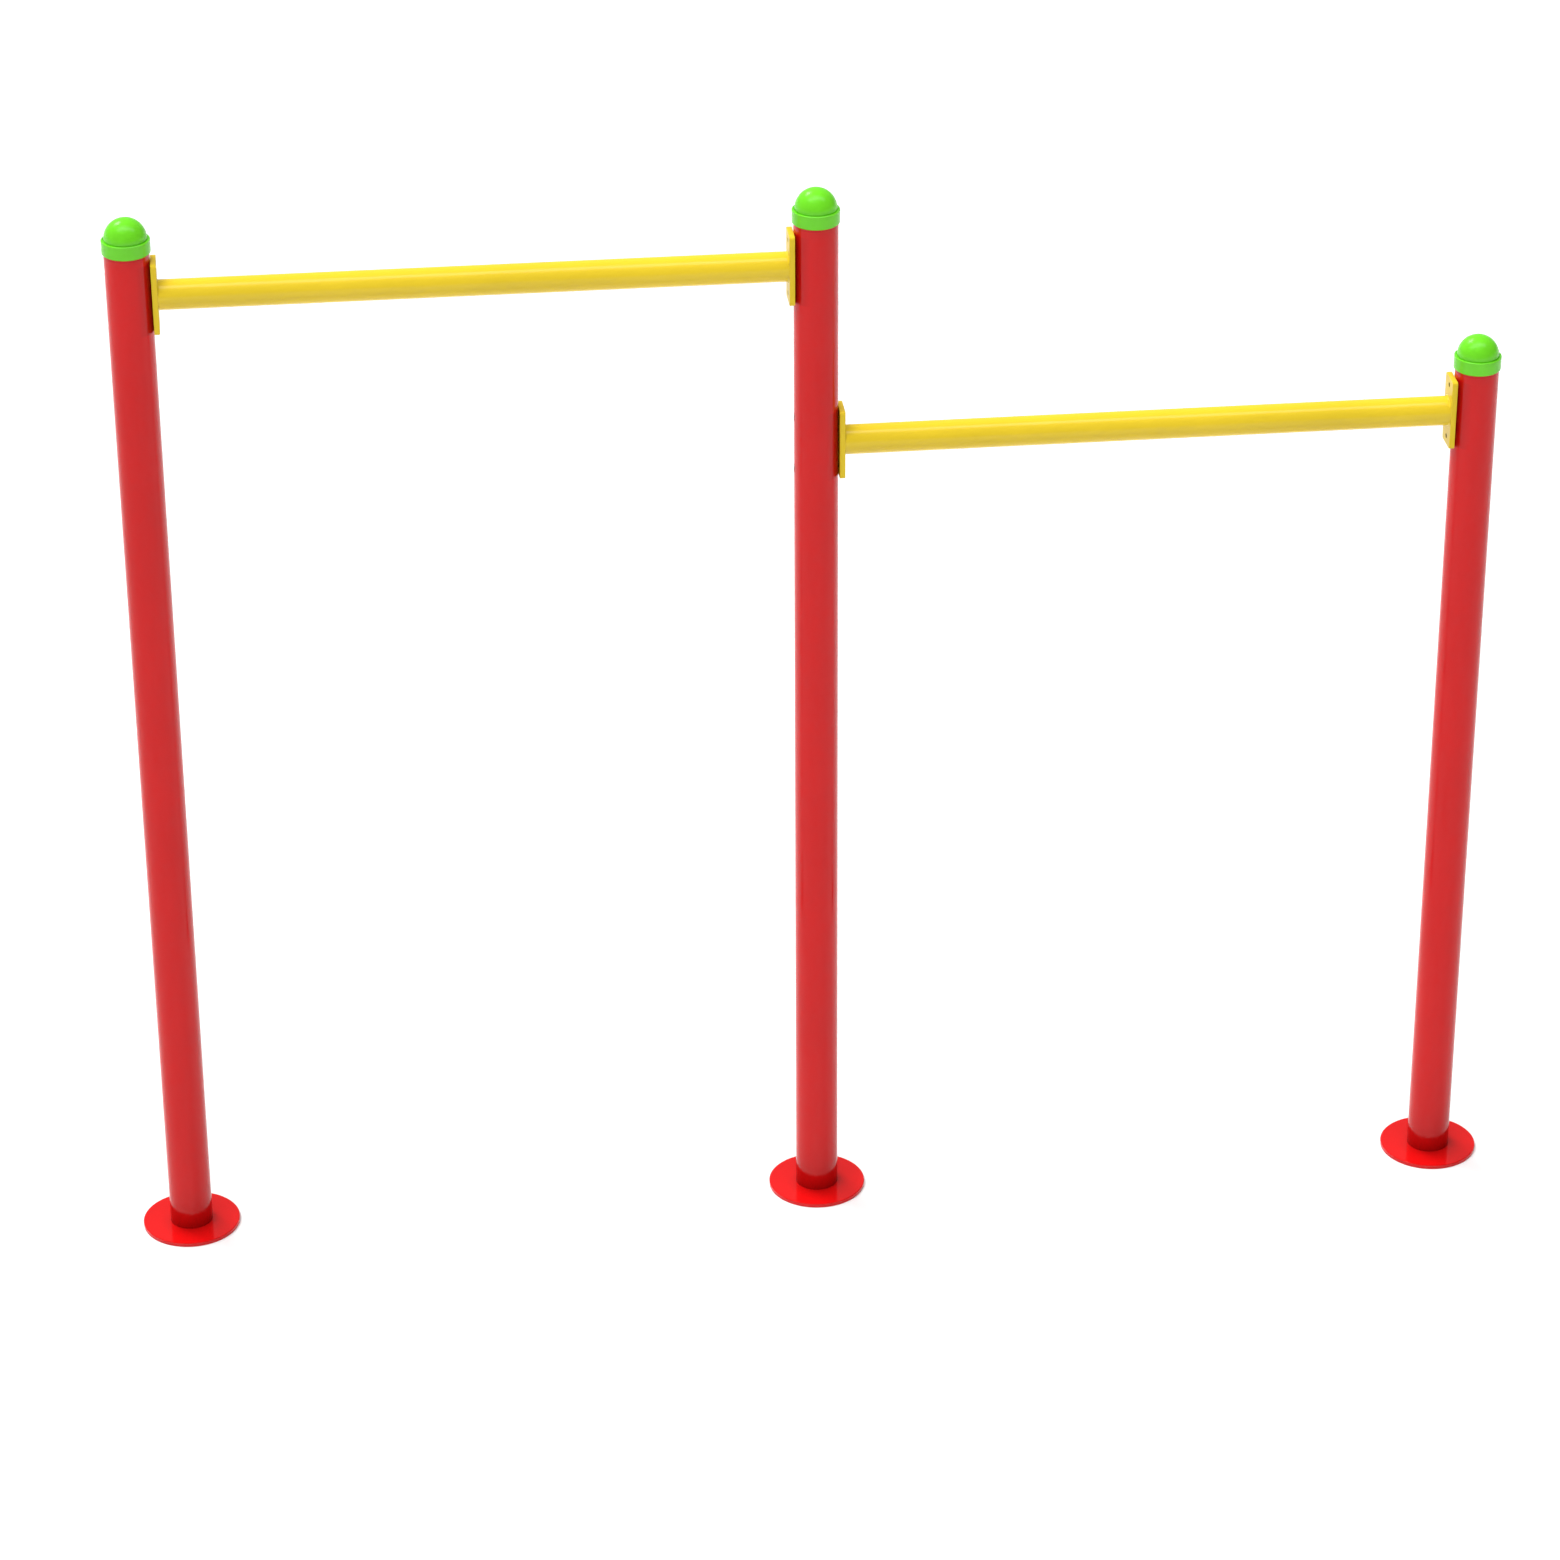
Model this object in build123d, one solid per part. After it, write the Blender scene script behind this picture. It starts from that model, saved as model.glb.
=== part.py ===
"""Uneven parallel bars: three round steel posts in a row, carrying two grip bars at different heights.

Units are millimetres and +Z is up.  The origin is on the ground under the middle post.
The left post is towards -X, the right (short) post is towards +X.
Each separate physical piece is written to its own STEP file in parts/.
"""
import os
from build123d import *

# ---- layout -------------------------------------------------------------------------------
POST_SPACING = 1338.0        # centre to centre, both bays
UPPER_BAR_HEIGHT = 2119.0    # bar centre above the ground, left bay
LOWER_BAR_HEIGHT = 1743.0    # bar centre above the ground, right bay

# ---- posts --------------------------------------------------------------------------------
POST_DIAMETER = 88.9         # 3 inch pipe
POST_WALL = 3.2
POST_RADIUS = POST_DIAMETER / 2
POST_BORE_RADIUS = POST_RADIUS - POST_WALL

# ---- feet ---------------------------------------------------------------------------------
FOOT_DIAMETER = 204.0
FOOT_THICKNESS = 9.0
FOOT_TOP_CHAMFER = 1.2
FOOT_BOTTOM_CHAMFER = 0.5
FOOT_BORE_CLEARANCE = 0.1    # radial gap between the post and the bore of the foot
POST_END_HEIGHT = 3.0        # the post stops this far above the ground, inside the foot
FOOT_WELD_LEG = 2.7          # hidden bead under the end of the post

# ---- caps ---------------------------------------------------------------------------------
CAP_ABOVE_BAR = 90.3         # bar centre to the lower edge of the cap collar
COLLAR_RADIUS = 47.5
COLLAR_HEIGHT = 28.5
COLLAR_TOP_CHAMFER = 1.2
COLLAR_BOTTOM_CHAMFER = 2.2
CAP_WALL = 3.0
DOME_RADIUS = 42.3
GROOVE_FLOOR_WIDTH = 1.6     # shallow groove that runs round the foot of the dome
GROOVE_TOP_WIDTH = 2.4
GROOVE_DEPTH = 1.6
PUSH_FIT_CLEARANCE = 0.1
PLUG_DEPTH = 30.0            # how far the plug reaches down inside the post
PLUG_WALL = 3.0
PLUG_LEAD_IN = 1.5

# ---- bars ---------------------------------------------------------------------------------
BAR_DIAMETER = 60.3          # 2 inch pipe
BAR_WALL = 2.9
BAR_RADIUS = BAR_DIAMETER / 2

# ---- bar end plates -----------------------------------------------------------------------
PLATE_THICKNESS = 11.0
PLATE_WIDTH = 62.0
PLATE_HEIGHT = 146.0
PLATE_CORNER_RADIUS = 6.0
PLATE_EDGE_CHAMFER = 0.8
BOLT_OFFSET = 56.0           # above and below the bar centre
BAR_WELD_LEG = 2.5
WELD_SPAN = 54.0             # beads run over the top and under the bar, this wide across it

# ---- M10 socket head cap screws, sunk into the far side of the post ------------------------
THREAD_DIAMETER = 10.0
SCREW_LENGTH = 85.0          # under the head
SCREW_TIP_CHAMFER = 1.0
SCREW_HEAD_DIAMETER = 16.0
SCREW_HEAD_HEIGHT = 10.0
SCREW_HEAD_CHAMFER = 1.0
SCREW_HEAD_SETBACK = 1.55    # the head's top is this far below the surface of the post
SOCKET_ACROSS_FLATS = 8.0
SOCKET_DEPTH = 5.0
TAPPED_HOLE_DIAMETER = 10.2
TAPPED_HOLE_CHAMFER = 0.6
HEAD_HOLE_DIAMETER = 18.0    # through the far wall of the post
THREAD_HOLE_DIAMETER = 11.0  # through the near wall of the post
SPACER_DIAMETER = 17.0       # the spacer lies inside the post, between the head and the near wall
SPACER_BORE = 11.0
SPACER_END = 40.3            # from the post's axis, just short of its curved inner wall

# ---- derived ------------------------------------------------------------------------------
PLATE_CENTRE_OFFSET = POST_RADIUS + PLATE_THICKNESS / 2
BAR_LENGTH = POST_SPACING - POST_DIAMETER - 2 * PLATE_THICKNESS
SCREW_SEAT = POST_RADIUS - SCREW_HEAD_SETBACK - SCREW_HEAD_HEIGHT    # from the post's axis
SPACER_LENGTH = SCREW_SEAT + SPACER_END
UPRIGHT = (Align.CENTER, Align.CENTER, Align.MIN)


def along_x(solid, direction):
    """Turn a solid built along +Z so that it runs along +X (direction 1) or -X (direction -1)."""
    return Rot(0, 90 * direction, 0) * solid


def fillet_bead(radius, leg):
    """Ring of weld around a cylinder that stands on the XY plane, with a slightly hollow face."""
    foot = (radius + leg, 0)
    top = (radius, leg)
    sag = (radius + leg * 0.42, leg * 0.42)
    with BuildPart() as bead:
        with BuildSketch(Plane.XZ):
            with BuildLine():
                Line((radius, 0), foot)
                ThreePointArc(foot, sag, top)
                Line(top, (radius, 0))
            make_face()
        revolve(axis=Axis.Z)
    return bead.part


def foot_disc():
    """Flat round foot, underside at z = 0, bored so that the post passes into it."""
    with BuildPart() as disc:
        Cylinder(FOOT_DIAMETER / 2, FOOT_THICKNESS, align=UPRIGHT)
        chamfer(disc.edges().group_by(Axis.Z)[-1], FOOT_TOP_CHAMFER)
        chamfer(disc.edges().group_by(Axis.Z)[0], FOOT_BOTTOM_CHAMFER)
        Hole(POST_RADIUS + FOOT_BORE_CLEARANCE)
    return disc.part


def foot_weld():
    """Bead in the corner under the end of the post, between that end and the bore of the foot."""
    outer = POST_RADIUS + FOOT_BORE_CLEARANCE
    with BuildPart() as bead:
        with BuildSketch(Plane.XZ):
            Polygon(
                (outer, 0),
                (outer - FOOT_WELD_LEG, 0),
                (outer, -FOOT_WELD_LEG),
                align=None,
            )
        revolve(axis=Axis.Z)
    return bead.part


def screw_hole(direction):
    """Drilling for one screw that points along +X (direction 1) or -X (direction -1).

    It clears the head and the spacer through the far wall, and the thread through the near wall.
    """
    far = Cylinder(HEAD_HOLE_DIAMETER / 2, POST_DIAMETER, align=UPRIGHT)
    near = Cylinder(THREAD_HOLE_DIAMETER / 2, POST_DIAMETER, align=UPRIGHT)
    return along_x(far, -direction) + along_x(near, direction)


def post_tube(top_bar_height, bar_ends):
    """Open tube from inside the foot to inside the cap, drilled for the screws of its bar ends.

    bar_ends lists the height of each bar that meets the post, and the side it leaves on.
    """
    length = top_bar_height + CAP_ABOVE_BAR + COLLAR_HEIGHT - CAP_WALL - POST_END_HEIGHT
    outside = Cylinder(POST_RADIUS, length, align=UPRIGHT)
    bore = Cylinder(POST_BORE_RADIUS, length, align=UPRIGHT)
    tube = Pos(0, 0, POST_END_HEIGHT) * (outside - bore)
    for height, direction in bar_ends:
        for offset in (BOLT_OFFSET, -BOLT_OFFSET):
            tube -= Pos(0, 0, height + offset) * screw_hole(direction)
    return tube


def post_cap():
    """Push-fit plastic cap: collar over the post, hollow dome on top, plug down the bore.

    The collar's lower edge is at z = 0.
    """
    seat = COLLAR_HEIGHT - CAP_WALL
    skirt_bore = POST_RADIUS + PUSH_FIT_CLEARANCE
    plug_outer = POST_BORE_RADIUS - PUSH_FIT_CLEARANCE
    plug_inner = plug_outer - PLUG_WALL
    dome_base = COLLAR_HEIGHT
    inner_dome = DOME_RADIUS - CAP_WALL
    with BuildPart() as cap:
        with BuildSketch(Plane.XZ):
            with BuildLine():
                Polyline(
                    (skirt_bore, 0),
                    (COLLAR_RADIUS - COLLAR_BOTTOM_CHAMFER, 0),
                    (COLLAR_RADIUS, COLLAR_BOTTOM_CHAMFER),
                    (COLLAR_RADIUS, COLLAR_HEIGHT - COLLAR_TOP_CHAMFER),
                    (COLLAR_RADIUS - COLLAR_TOP_CHAMFER, COLLAR_HEIGHT),
                    (DOME_RADIUS + GROOVE_TOP_WIDTH, COLLAR_HEIGHT),
                    (DOME_RADIUS + GROOVE_FLOOR_WIDTH, COLLAR_HEIGHT - GROOVE_DEPTH),
                    (DOME_RADIUS, COLLAR_HEIGHT - GROOVE_DEPTH),
                    (DOME_RADIUS, COLLAR_HEIGHT),
                )
                CenterArc((0, dome_base), DOME_RADIUS, 0, 90)
                Line((0, dome_base + DOME_RADIUS), (0, dome_base + inner_dome))
                CenterArc((0, dome_base), inner_dome, 90, -90)
                Polyline(
                    (inner_dome, dome_base),
                    (plug_inner, seat),
                    (plug_inner, seat - PLUG_DEPTH),
                    (plug_outer - PLUG_LEAD_IN, seat - PLUG_DEPTH),
                    (plug_outer, seat - PLUG_DEPTH + PLUG_LEAD_IN),
                    (plug_outer, seat),
                    (skirt_bore, seat),
                    (skirt_bore, 0),
                )
            make_face()
        revolve(axis=Axis.Z)
    return cap.part


def bar_tube():
    """Grip tube, centred on the origin and lying along X."""
    return along_x(Cylinder(BAR_RADIUS, BAR_LENGTH) - Cylinder(BAR_RADIUS - BAR_WALL, BAR_LENGTH), 1)


def end_plate():
    """Plate on a bar end: the post side faces -Z, the bar side faces +Z, long side along X."""
    with BuildPart() as plate:
        with BuildSketch():
            RectangleRounded(PLATE_HEIGHT, PLATE_WIDTH, PLATE_CORNER_RADIUS)
        extrude(amount=PLATE_THICKNESS / 2, both=True)
        chamfer(plate.edges().group_by(Axis.Z)[-1], PLATE_EDGE_CHAMFER)
        chamfer(plate.edges().group_by(Axis.Z)[0], PLATE_EDGE_CHAMFER)
        with Locations((BOLT_OFFSET, 0), (-BOLT_OFFSET, 0)):
            Hole(TAPPED_HOLE_DIAMETER / 2)
        mouths = plate.edges().filter_by(GeomType.CIRCLE).group_by(Axis.Z)[-1]
        mouths = mouths.filter_by(lambda edge: abs(edge.radius - TAPPED_HOLE_DIAMETER / 2) < 0.01)
        chamfer(mouths, TAPPED_HOLE_CHAMFER)
    return plate.part


def bar_weld():
    """Beads where a bar meets its plate, one over the bar and one under it, sitting on z = 0.

    The plate is hardly wider than the bar, so there is no room for a bead at the sides.
    """
    ring = fillet_bead(BAR_RADIUS, BAR_WELD_LEG)
    return ring & Box(PLATE_HEIGHT, WELD_SPAN, 4 * BAR_WELD_LEG)


def spacer():
    """Tube that carries a screw's clamping load across the post.  It stands on the XY plane."""
    outside = Cylinder(SPACER_DIAMETER / 2, SPACER_LENGTH, align=UPRIGHT)
    return outside - Cylinder(SPACER_BORE / 2, SPACER_LENGTH, align=UPRIGHT)


def cap_screw():
    """M10 socket head cap screw: its head hangs below z = 0 and its shank points up."""
    shank = Cylinder(THREAD_DIAMETER / 2, SCREW_LENGTH, align=UPRIGHT)
    shank = chamfer(shank.edges().group_by(Axis.Z)[-1], SCREW_TIP_CHAMFER)
    head = Cylinder(SCREW_HEAD_DIAMETER / 2, SCREW_HEAD_HEIGHT, align=UPRIGHT)
    head = chamfer(head.edges().group_by(Axis.Z)[0], SCREW_HEAD_CHAMFER)
    socket = extrude(RegularPolygon(SOCKET_ACROSS_FLATS / 2, 6, major_radius=False), SOCKET_DEPTH)
    return shank + Pos(0, 0, -SCREW_HEAD_HEIGHT) * (head - socket)


def bolt_pair(solid):
    """The same solid at the upper and the lower bolt height."""
    return [Pos(0, 0, offset) * solid for offset in (BOLT_OFFSET, -BOLT_OFFSET)]


def export(name, shape):
    """Write one piece, or a group of identical pieces, to parts/NAME.step."""
    if isinstance(shape, list):
        shape = Compound(children=shape)
    shape.label = name
    export_step(shape, f"parts/{name}.step")


def export_post(side, x, bar_ends):
    """One post with its foot, its weld and its cap; the first of its bar ends is the highest."""
    top_bar_height = bar_ends[0][0]
    export(f"{side}_post", Pos(x, 0, 0) * post_tube(top_bar_height, bar_ends))
    export(f"{side}_foot_disc", Pos(x, 0, 0) * foot_disc())
    export(f"{side}_foot_weld", Pos(x, 0, POST_END_HEIGHT) * foot_weld())
    export(f"{side}_post_cap", Pos(x, 0, top_bar_height + CAP_ABOVE_BAR) * post_cap())


def export_bar_end(bar, side, post_x, height, direction):
    """The plate, weld, spacers and screws that join one bar end to one post.

    direction is 1 when the bar runs away from the post towards +X, and -1 when towards -X.
    """
    name = f"{bar}_bar_{side}"
    plate = Pos(post_x + direction * PLATE_CENTRE_OFFSET, 0, height) * along_x(end_plate(), direction)
    weld_x = post_x + direction * (POST_RADIUS + PLATE_THICKNESS)
    weld = Pos(weld_x, 0, height) * along_x(bar_weld(), direction)
    seat = Pos(post_x - direction * SCREW_SEAT, 0, height)
    spacers = [seat * each for each in bolt_pair(along_x(spacer(), direction))]
    screws = [seat * each for each in bolt_pair(along_x(cap_screw(), direction))]
    export(f"{name}_plate", plate)
    export(f"{name}_weld", weld)
    export(f"{name}_spacers", spacers)
    export(f"{name}_bolts", screws)


def main():
    os.makedirs("parts", exist_ok=True)
    left, middle, right = -POST_SPACING, 0.0, POST_SPACING

    export_post("left", left, [(UPPER_BAR_HEIGHT, 1)])
    export_post("middle", middle, [(UPPER_BAR_HEIGHT, -1), (LOWER_BAR_HEIGHT, 1)])
    export_post("right", right, [(LOWER_BAR_HEIGHT, -1)])

    export("upper_bar", Pos((left + middle) / 2, 0, UPPER_BAR_HEIGHT) * bar_tube())
    export("lower_bar", Pos((middle + right) / 2, 0, LOWER_BAR_HEIGHT) * bar_tube())

    export_bar_end("upper", "left", left, UPPER_BAR_HEIGHT, 1)
    export_bar_end("upper", "right", middle, UPPER_BAR_HEIGHT, -1)
    export_bar_end("lower", "left", middle, LOWER_BAR_HEIGHT, 1)
    export_bar_end("lower", "right", right, LOWER_BAR_HEIGHT, -1)


main()
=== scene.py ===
import math

import bpy
from mathutils import Euler, Matrix, Vector


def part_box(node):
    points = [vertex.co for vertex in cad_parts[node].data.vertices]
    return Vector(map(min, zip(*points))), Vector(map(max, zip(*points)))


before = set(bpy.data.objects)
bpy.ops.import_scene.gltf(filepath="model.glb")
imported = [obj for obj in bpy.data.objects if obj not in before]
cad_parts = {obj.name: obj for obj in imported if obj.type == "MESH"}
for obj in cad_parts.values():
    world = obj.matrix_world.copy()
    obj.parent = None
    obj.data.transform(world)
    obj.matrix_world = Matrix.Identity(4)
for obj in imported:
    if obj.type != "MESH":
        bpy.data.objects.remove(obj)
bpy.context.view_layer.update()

# ---- colours (linear RGB) -------------------------------------------------------------------
# POST_RED and FOOT_RED are one paint; the posts' red is a little darker as painted shade on their sides
POST_RED = (0.570, 0.0042, 0.0046)
FOOT_RED = (0.600, 0.0042, 0.0046)
YELLOW = (0.69, 0.495, 0.022)
GREEN = (0.13, 0.585, 0.015)
ZINC = (0.62, 0.63, 0.65)
BLACK_OXIDE = (0.030, 0.028, 0.026)
RUBBED_OXIDE = (0.075, 0.055, 0.040)
BARE_THREAD = (0.085, 0.062, 0.035)
FLOOR_GREY = (0.78, 0.78, 0.78)
# painted shade: the colour mixed in where shade is painted near the feet and plates
PAINTED_SHADE_COLOUR = (0.0, 0.0, 0.0)

# ---- sizes the paint needs, in metres ---------------------------------------------------------
SCREW_HEAD_RADIUS = 0.008
HOLE_RADIUS = 0.0052                    # tapped hole of a bar end plate
HOLE_EDGE = 0.0001                      # half the width over which paint gives way to bare thread
# painted shade: up the posts from the feet, on the discs in front of the posts, and beside the plates
FOOT_SHADE_HEIGHT = 0.16                   # the posts' paint is darker up to here above the foot
HALO_SHIFT = 0.020                      # the dark halo on the foot lies this far in front of the post's axis
HALO_RADIUS = 0.072                     # and ends here
CREVICE_START = 0.011                   # shade beside a plate: full up to here from the plate's plane
CREVICE_END = 0.028                     # and gone here
CREVICE_SOFT_END = 0.003                # it fades over this height at the plate's ends

# ---- painted shade near the feet and plates, from 0 to 1, and how fast it fades ----------------
# It is painted shade, standing in for soft shade that the lights don't give there.
FOOT_SHADE_STRENGTH = 0.36
FOOT_SHADE_FALLOFF = 2.4
HALO_STRENGTH = 0.36
HALO_FALLOFF = 1.5
CREVICE_SHADE_STRENGTH = 0.2

# ---- noise ----------------------------------------------------------------------------------
NOISE_LOW = 0.3                         # almost all of a noise lies between these two
NOISE_HIGH = 0.7
SPECKLE_START = 0.62                    # noise above this shows as a speckle in the paint
SPECKLE_END = 0.80
SPECKLE_STRENGTH = 0.10
COAT_GLOSS_SPREAD = 0.04                # how much duller the dullest patches are
PEEL_HEIGHT = 0.00002                   # of the paint's orange peel
FINE_HEIGHT = 0.00001                   # of scratches and grain

# ---- light ----------------------------------------------------------------------------------
KEY_DIRECTION = (-0.40, 0.524, 0.752)   # from behind the row, on the left
WORLD_LEFT = 0.34                       # brightness of the surroundings on the left
WORLD_RIGHT = 0.08
WORLD_BEHIND = 0.24                     # added behind the row

# ---- camera: in front of the row, left of the middle post, looking down on it ----------------
CAMERA_POSITION = Vector((-1.0707, -9.2829, 5.9027))
CAMERA_YAW = math.radians(-6.119)       # negative turns it to the right
CAMERA_PITCH = math.radians(27.787)     # below the horizon
CAMERA_ROLL = math.radians(-0.263)
CAMERA_LENS = 118.11                    # mm on a 36 mm wide sensor
CAMERA_REACH = 1000.0                   # metres
SENSOR_WIDTH = 36.0

FLOOR_HALF_WIDTH = 150.0                # metres


# ---- node helpers ---------------------------------------------------------------------------

def new_material(name):
    """An empty node material with a Principled shader, as (material, node tree, shader)."""
    material = bpy.data.materials.new(name)
    material.use_nodes = True
    tree = material.node_tree
    tree.nodes.clear()
    output = tree.nodes.new("ShaderNodeOutputMaterial")
    shader = tree.nodes.new("ShaderNodeBsdfPrincipled")
    tree.links.new(shader.outputs["BSDF"], output.inputs["Surface"])
    return material, tree, shader


def object_position(tree):
    """The surface point in the object's own frame, in metres."""
    return tree.nodes.new("ShaderNodeTexCoord").outputs["Object"]


def stretched(tree, vector, scale):
    """The vector scaled along each axis."""
    mapping = tree.nodes.new("ShaderNodeMapping")
    mapping.inputs["Scale"].default_value = scale
    tree.links.new(vector, mapping.inputs["Vector"])
    return mapping.outputs["Vector"]


def noise(tree, vector, scale, detail):
    """Fractal noise from 0 to 1."""
    node = tree.nodes.new("ShaderNodeTexNoise")
    node.inputs["Scale"].default_value = scale
    node.inputs["Detail"].default_value = detail
    tree.links.new(vector, node.inputs["Vector"])
    return node.outputs["Fac"]


def remap(tree, value, low, high, to_low, to_high):
    """A value between low and high, spread over to_low to to_high and held at the ends."""
    node = tree.nodes.new("ShaderNodeMapRange")
    node.clamp = True
    node.inputs["From Min"].default_value = low
    node.inputs["From Max"].default_value = high
    node.inputs["To Min"].default_value = to_low
    node.inputs["To Max"].default_value = to_high
    tree.links.new(value, node.inputs["Value"])
    return node.outputs["Result"]


def spread(tree, fractal, to_low, to_high):
    """A noise spread over the whole of to_low to to_high."""
    return remap(tree, fractal, NOISE_LOW, NOISE_HIGH, to_low, to_high)


def mix_colour(tree, factor, first, second):
    """Mix of two colours, each a socket or a plain RGB."""
    node = tree.nodes.new("ShaderNodeMix")
    node.data_type = "RGBA"
    tree.links.new(factor, node.inputs["Factor"])
    for socket, colour in (("A", first), ("B", second)):
        target = [s for s in node.inputs if s.name == socket and s.type == "RGBA"][0]
        if isinstance(colour, tuple):
            target.default_value = (*colour, 1.0)
        else:
            tree.links.new(colour, target)
    return [s for s in node.outputs if s.type == "RGBA"][0]


def bump(tree, height, distance):
    """A bump normal from a height that is distance metres tall at 1."""
    node = tree.nodes.new("ShaderNodeBump")
    node.inputs["Distance"].default_value = distance
    tree.links.new(height, node.inputs["Height"])
    return node.outputs["Normal"]


def maths(tree, operation, first, second):
    """One Math node; each input is a socket or a number."""
    node = tree.nodes.new("ShaderNodeMath")
    node.operation = operation
    for socket, value in zip(node.inputs, (first, second)):
        if isinstance(value, (int, float)):
            socket.default_value = value
        else:
            tree.links.new(value, socket)
    return node.outputs["Value"]


def axes_of(tree, vector):
    """The X, Y and Z of a vector, as three sockets."""
    split = tree.nodes.new("ShaderNodeSeparateXYZ")
    tree.links.new(vector, split.inputs["Vector"])
    return split.outputs["X"], split.outputs["Y"], split.outputs["Z"]


def hypotenuse(tree, first, second):
    """Length of the diagonal of a right angle's two sides."""
    first_squared = maths(tree, "POWER", first, 2.0)
    second_squared = maths(tree, "POWER", second, 2.0)
    return maths(tree, "SQRT", maths(tree, "ADD", first_squared, second_squared), 0.0)


def distance_from_screws(tree, place, screws):
    """Distance from the nearer axis of a pair of screws that lie along X, one above the other."""
    low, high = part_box(screws)
    middle = (low[2] + high[2]) / 2
    offset = (high[2] - low[2]) / 2 - SCREW_HEAD_RADIUS
    across, upward = axes_of(tree, place)[1:]
    from_middle = maths(tree, "ABSOLUTE", maths(tree, "SUBTRACT", upward, middle), 0.0)
    return hypotenuse(tree, across, maths(tree, "SUBTRACT", from_middle, offset))


def shade(colour, factor):
    """A colour made lighter or darker."""
    return tuple(min(channel * factor, 1.0) for channel in colour)


def clouded(tree, fractal, darker, lighter):
    """A tone that drifts between two colours with a noise."""
    return mix_colour(tree, spread(tree, fractal, 0.0, 1.0), darker, lighter)


# ---- materials ------------------------------------------------------------------------------

def powder_coat(name, colour, gloss, specular):
    """Baked powder coat: faint cloudy tone, fine orange peel and slightly uneven gloss.

    A lower gloss number is shinier: it is the roughness of the shiniest patches.
    Gives the material, its node tree, its shader and the socket of its tone, so that painted shade can be
    added.
    """
    material, tree, shader = new_material(name)
    place = object_position(tree)
    clouds = noise(tree, place, scale=3.5, detail=4.0)
    speckle = noise(tree, place, scale=420.0, detail=2.0)
    tone = clouded(tree, clouds, shade(colour, 0.955), shade(colour, 1.04))
    grain = remap(tree, speckle, SPECKLE_START, SPECKLE_END, 0.0, SPECKLE_STRENGTH)
    tone = mix_colour(tree, grain, tone, shade(colour, 0.55))
    tree.links.new(tone, shader.inputs["Base Color"])
    patches = noise(tree, place, scale=14.0, detail=3.0)
    roughness = spread(tree, patches, gloss, gloss + COAT_GLOSS_SPREAD)
    tree.links.new(roughness, shader.inputs["Roughness"])
    peel = noise(tree, place, scale=260.0, detail=2.0)
    tree.links.new(bump(tree, peel, PEEL_HEIGHT), shader.inputs["Normal"])
    shader.inputs["Specular IOR Level"].default_value = specular
    return material, tree, shader, tone


def darken(tree, shader, tone, shade_amount):
    """Mix painted shade (0 to 1) over the tone."""
    tree.links.new(mix_colour(tree, shade_amount, tone, PAINTED_SHADE_COLOUR), shader.inputs["Base Color"])


def shade_beside_plate(tree, place, plate, post_x):
    """Painted shade in the wedge between a round post and the flat plate screwed to it, from 0 to 1."""
    low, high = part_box(plate)
    face = high[0] if low[0] < post_x else low[0]
    along, across, upward = axes_of(tree, place)
    depth = maths(tree, "ABSOLUTE", maths(tree, "SUBTRACT", along, face), 0.0)
    near = remap(tree, depth, CREVICE_START, CREVICE_END, 1.0, 0.0)
    above = remap(tree, upward, low[2], low[2] + CREVICE_SOFT_END, 0.0, 1.0)
    below = remap(tree, upward, high[2] - CREVICE_SOFT_END, high[2], 1.0, 0.0)
    return maths(tree, "MULTIPLY", near, maths(tree, "MULTIPLY", above, below))


def post_paint(side, plates):
    """Red coat with painted shade beside its plates and towards the foot."""
    material, tree, shader, tone = powder_coat(f"{side}_post_red", POST_RED, gloss=0.09, specular=0.25)
    place = object_position(tree)
    foot_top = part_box(f"{side}_foot_disc")[1][2]
    # painted shade on the post, darker towards the foot
    nearness = remap(tree, axes_of(tree, place)[2], foot_top, foot_top + FOOT_SHADE_HEIGHT, 1.0, 0.0)
    foot_shade = maths(tree, "POWER", nearness, FOOT_SHADE_FALLOFF)
    shade_amount = maths(tree, "MULTIPLY", foot_shade, FOOT_SHADE_STRENGTH)
    post_low, post_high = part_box(f"{side}_post")
    for plate in plates:
        # painted shade in the wedge beside each plate
        crevice_shade = shade_beside_plate(tree, place, plate, (post_low[0] + post_high[0]) / 2)
        shade_amount = maths(tree, "MAXIMUM", shade_amount, maths(tree, "MULTIPLY", crevice_shade, CREVICE_SHADE_STRENGTH))
    darken(tree, shader, tone, shade_amount)
    return material


def foot_paint(side):
    """Red coat with a faint dark halo of painted shade in front of the post."""
    material, tree, shader, tone = powder_coat(f"{side}_foot_red", FOOT_RED, gloss=0.05, specular=0.3)
    low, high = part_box(f"{side}_post")
    post_radius = (high[0] - low[0]) / 2
    along, across = axes_of(tree, object_position(tree))[:2]
    radius = hypotenuse(
        tree,
        maths(tree, "SUBTRACT", along, (low[0] + high[0]) / 2),
        maths(tree, "ADD", across, HALO_SHIFT),
    )
    nearness = remap(tree, radius, post_radius - HALO_SHIFT, HALO_RADIUS, 1.0, 0.0)
    # painted shade: a dark halo on the disc in front of the post
    halo = maths(tree, "POWER", nearness, HALO_FALLOFF)
    darken(tree, shader, tone, maths(tree, "MULTIPLY", halo, HALO_STRENGTH))
    return material


def bar_paint():
    """Glossy yellow coat of the bars and their weld beads."""
    return powder_coat("bar_yellow", YELLOW, gloss=0.12, specular=0.3)[0]


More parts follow.
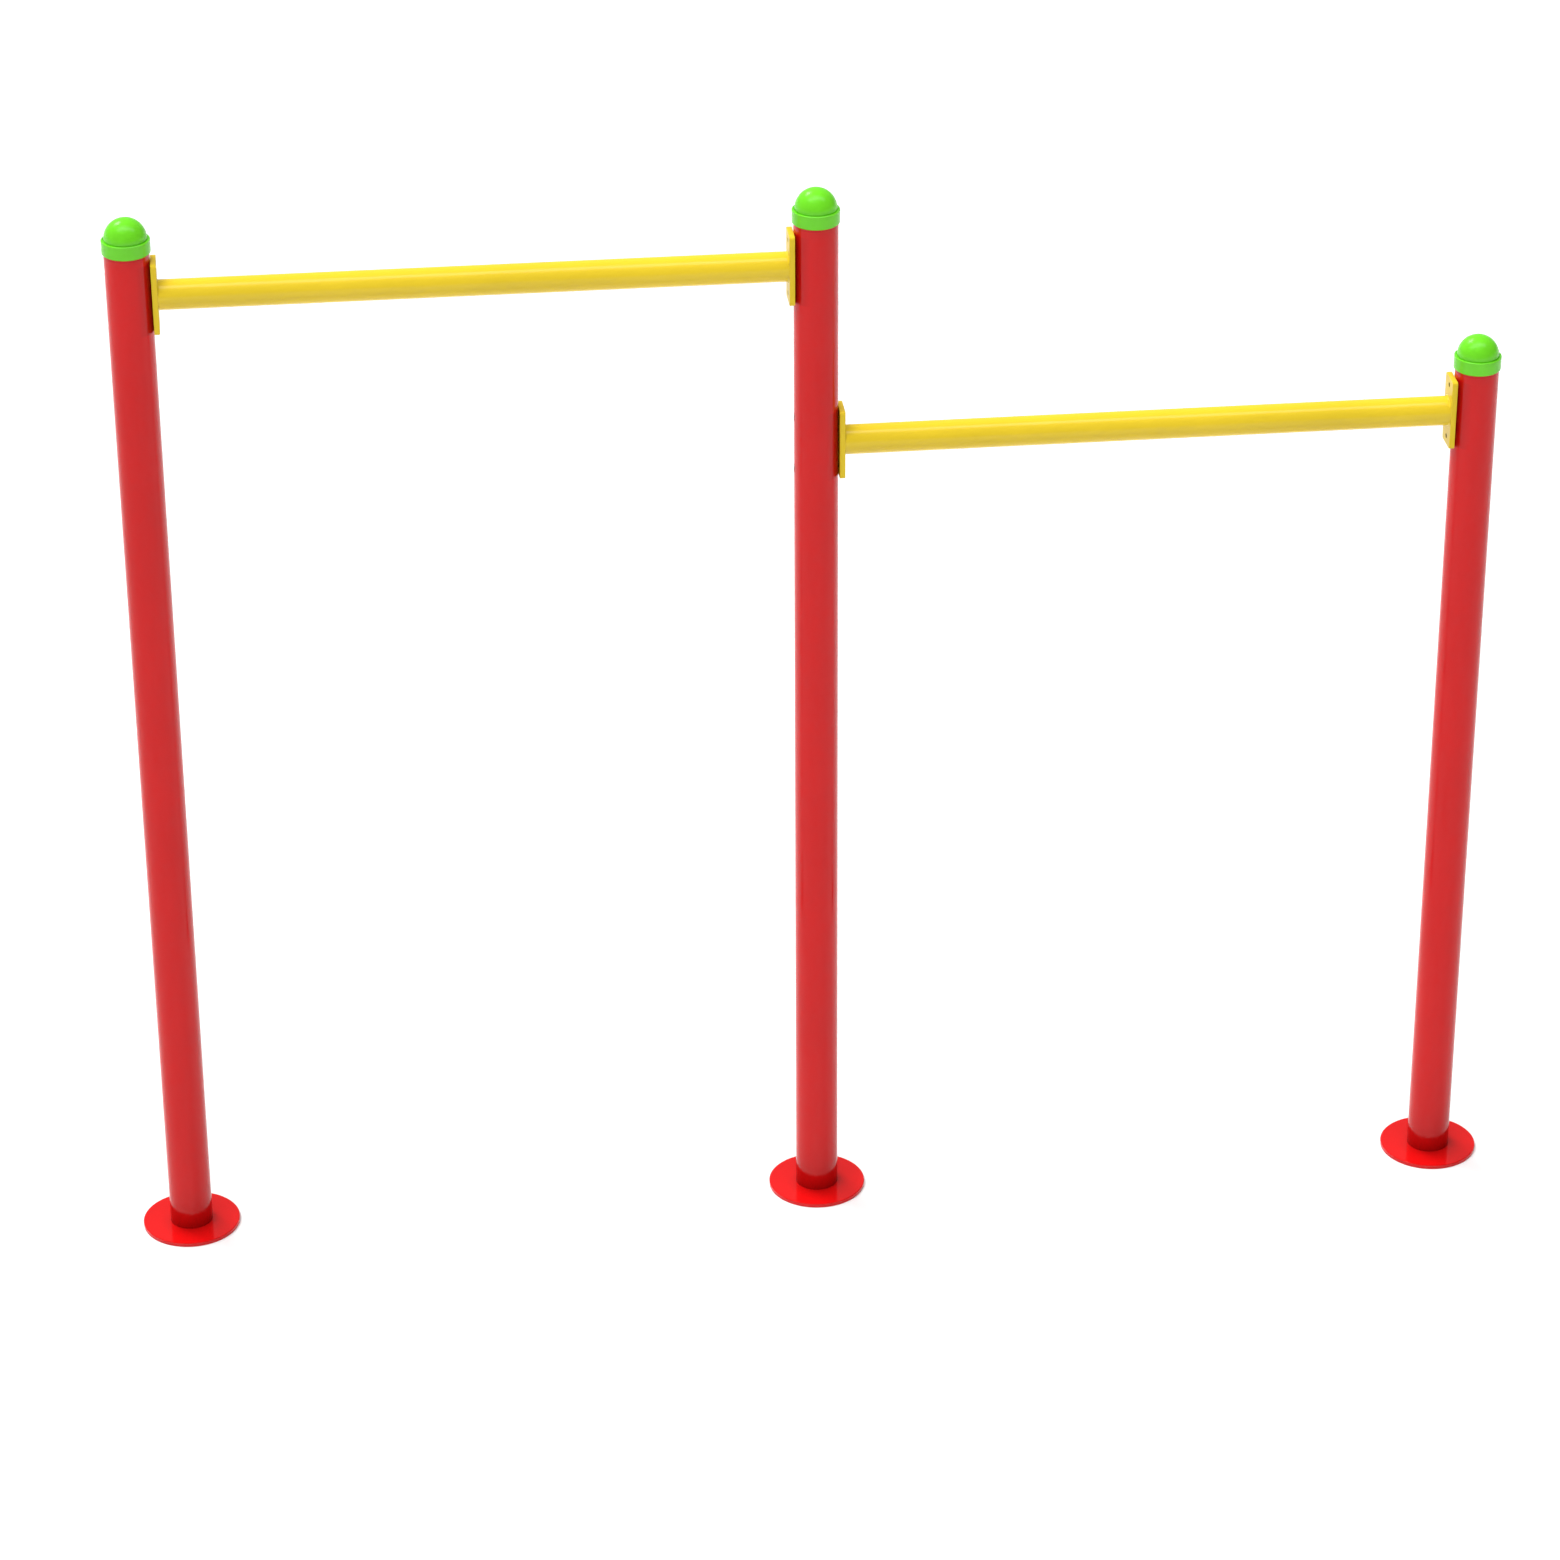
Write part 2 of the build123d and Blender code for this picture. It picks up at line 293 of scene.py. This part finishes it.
def plate_paint(bar):
    """Yellow coat, a little duller than the bars', with bare dark threads in the two tapped holes."""
    material, tree, shader, tone = powder_coat(f"{bar}_plate_yellow", YELLOW, gloss=0.30, specular=0.14)
    distance = distance_from_screws(tree, object_position(tree), f"{bar}_bar_left_bolts")
    bare = remap(tree, distance, HOLE_RADIUS - HOLE_EDGE, HOLE_RADIUS + HOLE_EDGE, 1.0, 0.0)
    tree.links.new(mix_colour(tree, bare, tone, BARE_THREAD), shader.inputs["Base Color"])
    return material


def moulded_plastic(name, colour):
    """Glossy injection moulding: even colour with a slight cloudiness and a soft sheen."""
    material, tree, shader = new_material(name)
    place = object_position(tree)
    clouds = noise(tree, place, scale=22.0, detail=3.0)
    tone = clouded(tree, clouds, shade(colour, 0.95), shade(colour, 1.05))
    tree.links.new(tone, shader.inputs["Base Color"])
    fine = noise(tree, place, scale=900.0, detail=2.0)
    tree.links.new(spread(tree, fine, 0.20, 0.26), shader.inputs["Roughness"])
    tree.links.new(bump(tree, fine, FINE_HEIGHT), shader.inputs["Normal"])
    shader.inputs["Specular IOR Level"].default_value = 0.3
    return material


def zinc_plate(name):
    """Zinc plated steel: bright, slightly blotchy, with fine scratches."""
    material, tree, shader = new_material(name)
    place = object_position(tree)
    blotches = noise(tree, place, scale=180.0, detail=4.0)
    tree.links.new(clouded(tree, blotches, shade(ZINC, 0.8), ZINC), shader.inputs["Base Color"])
    scratches = noise(tree, stretched(tree, place, (1.0, 60.0, 900.0)), scale=8.0, detail=3.0)
    tree.links.new(spread(tree, scratches, 0.28, 0.42), shader.inputs["Roughness"])
    tree.links.new(bump(tree, scratches, FINE_HEIGHT), shader.inputs["Normal"])
    shader.inputs["Metallic"].default_value = 1.0
    return material


def black_oxide(name):
    """Blackened steel with an oily, slightly uneven sheen and brown where it is rubbed."""
    material, tree, shader = new_material(name)
    place = object_position(tree)
    rubbed = noise(tree, place, scale=240.0, detail=4.0)
    brown = remap(tree, rubbed, 0.5, 0.8, 0.0, 1.0)
    tree.links.new(mix_colour(tree, brown, BLACK_OXIDE, RUBBED_OXIDE), shader.inputs["Base Color"])
    tree.links.new(spread(tree, rubbed, 0.34, 0.50), shader.inputs["Roughness"])
    grain = noise(tree, place, scale=1200.0, detail=2.0)
    tree.links.new(bump(tree, grain, FINE_HEIGHT), shader.inputs["Normal"])
    shader.inputs["Metallic"].default_value = 0.6
    return material


def matte_floor(name):
    """Plain pale studio floor with an almost invisible unevenness."""
    material, tree, shader = new_material(name)
    clouds = noise(tree, object_position(tree), scale=0.4, detail=3.0)
    tone = mix_colour(tree, clouds, FLOOR_GREY, shade(FLOOR_GREY, 1.02))
    tree.links.new(tone, shader.inputs["Base Color"])
    shader.inputs["Roughness"].default_value = 1.0
    shader.inputs["Specular IOR Level"].default_value = 0.0
    return material


def dress(names, material):
    """Give every named CAD node this material."""
    for name in names:
        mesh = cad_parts[name].data
        mesh.materials.clear()
        mesh.materials.append(material)


def nodes_ending(*endings):
    """Names of the CAD nodes that end in any of these."""
    return [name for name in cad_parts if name.endswith(endings)]


PLATES_ON_POST = {
    "left": ["upper_bar_left_plate"],
    "middle": ["upper_bar_right_plate", "lower_bar_left_plate"],
    "right": ["lower_bar_right_plate"],
}


def dress_everything():
    """Material of every CAD node."""
    for side, plates in PLATES_ON_POST.items():
        dress([f"{side}_post"], post_paint(side, plates))
        dress([f"{side}_foot_disc", f"{side}_foot_weld"], foot_paint(side))
    for bar in ("upper", "lower"):
        dress([f"{bar}_bar_left_plate", f"{bar}_bar_right_plate"], plate_paint(bar))
    dress(["upper_bar", "lower_bar"] + nodes_ending("_left_weld", "_right_weld"), bar_paint())
    dress(nodes_ending("_cap"), moulded_plastic("green_plastic", GREEN))
    dress(nodes_ending("_spacers"), zinc_plate("zinc_plate"))
    dress(nodes_ending("_bolts"), black_oxide("black_oxide"))


# ---- stage ----------------------------------------------------------------------------------

def add_floor():
    """Wide flat floor at the height of the ground."""
    half = FLOOR_HALF_WIDTH
    corners = [(-half, -half, 0.0), (half, -half, 0.0), (half, half, 0.0), (-half, half, 0.0)]
    mesh = bpy.data.meshes.new("floor")
    mesh.from_pydata(corners, [], [(0, 1, 2, 3)])
    floor = bpy.data.objects.new("floor", mesh)
    bpy.context.scene.collection.objects.link(floor)
    mesh.materials.append(matte_floor("floor"))


def add_sun(name, toward, power, width, seen_in_gloss):
    """Distant light that shines from the direction toward; power is what it adds to a white surface."""
    light = bpy.data.lights.new(name, "SUN")
    light.energy = power * math.pi
    light.angle = math.radians(width)
    lamp = bpy.data.objects.new(name, light)
    bpy.context.scene.collection.objects.link(lamp)
    lamp.rotation_euler = Vector(toward).to_track_quat("Z", "Y").to_euler()
    lamp.visible_glossy = seen_in_gloss


def add_panel(name, place, aim, size, brightness):
    """Rectangular soft box: size in metres, brightness of its surface against white."""
    light = bpy.data.lights.new(name, "AREA")
    light.shape = "RECTANGLE"
    light.size, light.size_y = size
    light.energy = brightness * math.pi * size[0] * size[1]
    lamp = bpy.data.objects.new(name, light)
    bpy.context.scene.collection.objects.link(lamp)
    lamp.location = place
    lamp.rotation_euler = (Vector(place) - Vector(aim)).to_track_quat("Z", "Y").to_euler()


def add_lights():
    """Soft light from above, a key with its fill from behind on the left, and a strip to mirror."""
    add_sun("overhead_fill", (-0.20, -0.25, 1.0), power=0.79, width=50.0, seen_in_gloss=False)
    add_sun("back_left_key", KEY_DIRECTION, power=0.26, width=20.0, seen_in_gloss=True)
    add_sun("back_left_fill", KEY_DIRECTION, power=0.38, width=34.0, seen_in_gloss=False)
    add_panel(
        "overhead_strip",
        place=(0.0, -1.5, 9.0),
        aim=(0.0, 0.0, 2.0),
        size=(12.0, 2.6),
        brightness=3.0,
    )


def set_world():
    """Dim surroundings, brighter on the left and behind the row."""
    world = bpy.data.worlds.new("studio")
    bpy.context.scene.world = world
    world.use_nodes = True
    tree = world.node_tree
    background = tree.nodes["Background"]
    along, across = axes_of(tree, tree.nodes.new("ShaderNodeTexCoord").outputs["Generated"])[:2]
    sideways = remap(tree, along, -1.0, 1.0, WORLD_LEFT, WORLD_RIGHT)
    behind = remap(tree, across, 0.0, 1.0, 0.0, WORLD_BEHIND)
    background.inputs["Color"].default_value = (1.0, 1.0, 1.0, 1.0)
    tree.links.new(maths(tree, "ADD", sideways, behind), background.inputs["Strength"])


def add_camera():
    """Camera of the main view."""
    data = bpy.data.cameras.new("camera")
    data.sensor_width = SENSOR_WIDTH
    data.lens = CAMERA_LENS
    data.clip_end = CAMERA_REACH
    camera = bpy.data.objects.new("camera", data)
    bpy.context.scene.collection.objects.link(camera)
    turn = Euler((math.pi / 2 - CAMERA_PITCH, 0.0, CAMERA_YAW)).to_matrix()
    roll = Euler((0.0, 0.0, CAMERA_ROLL)).to_matrix()
    camera.matrix_world = Matrix.Translation(CAMERA_POSITION) @ (turn @ roll).to_4x4()
    bpy.context.scene.camera = camera


dress_everything()
add_floor()
add_lights()
set_world()
add_camera()
bpy.context.scene.view_settings.view_transform = "Standard"
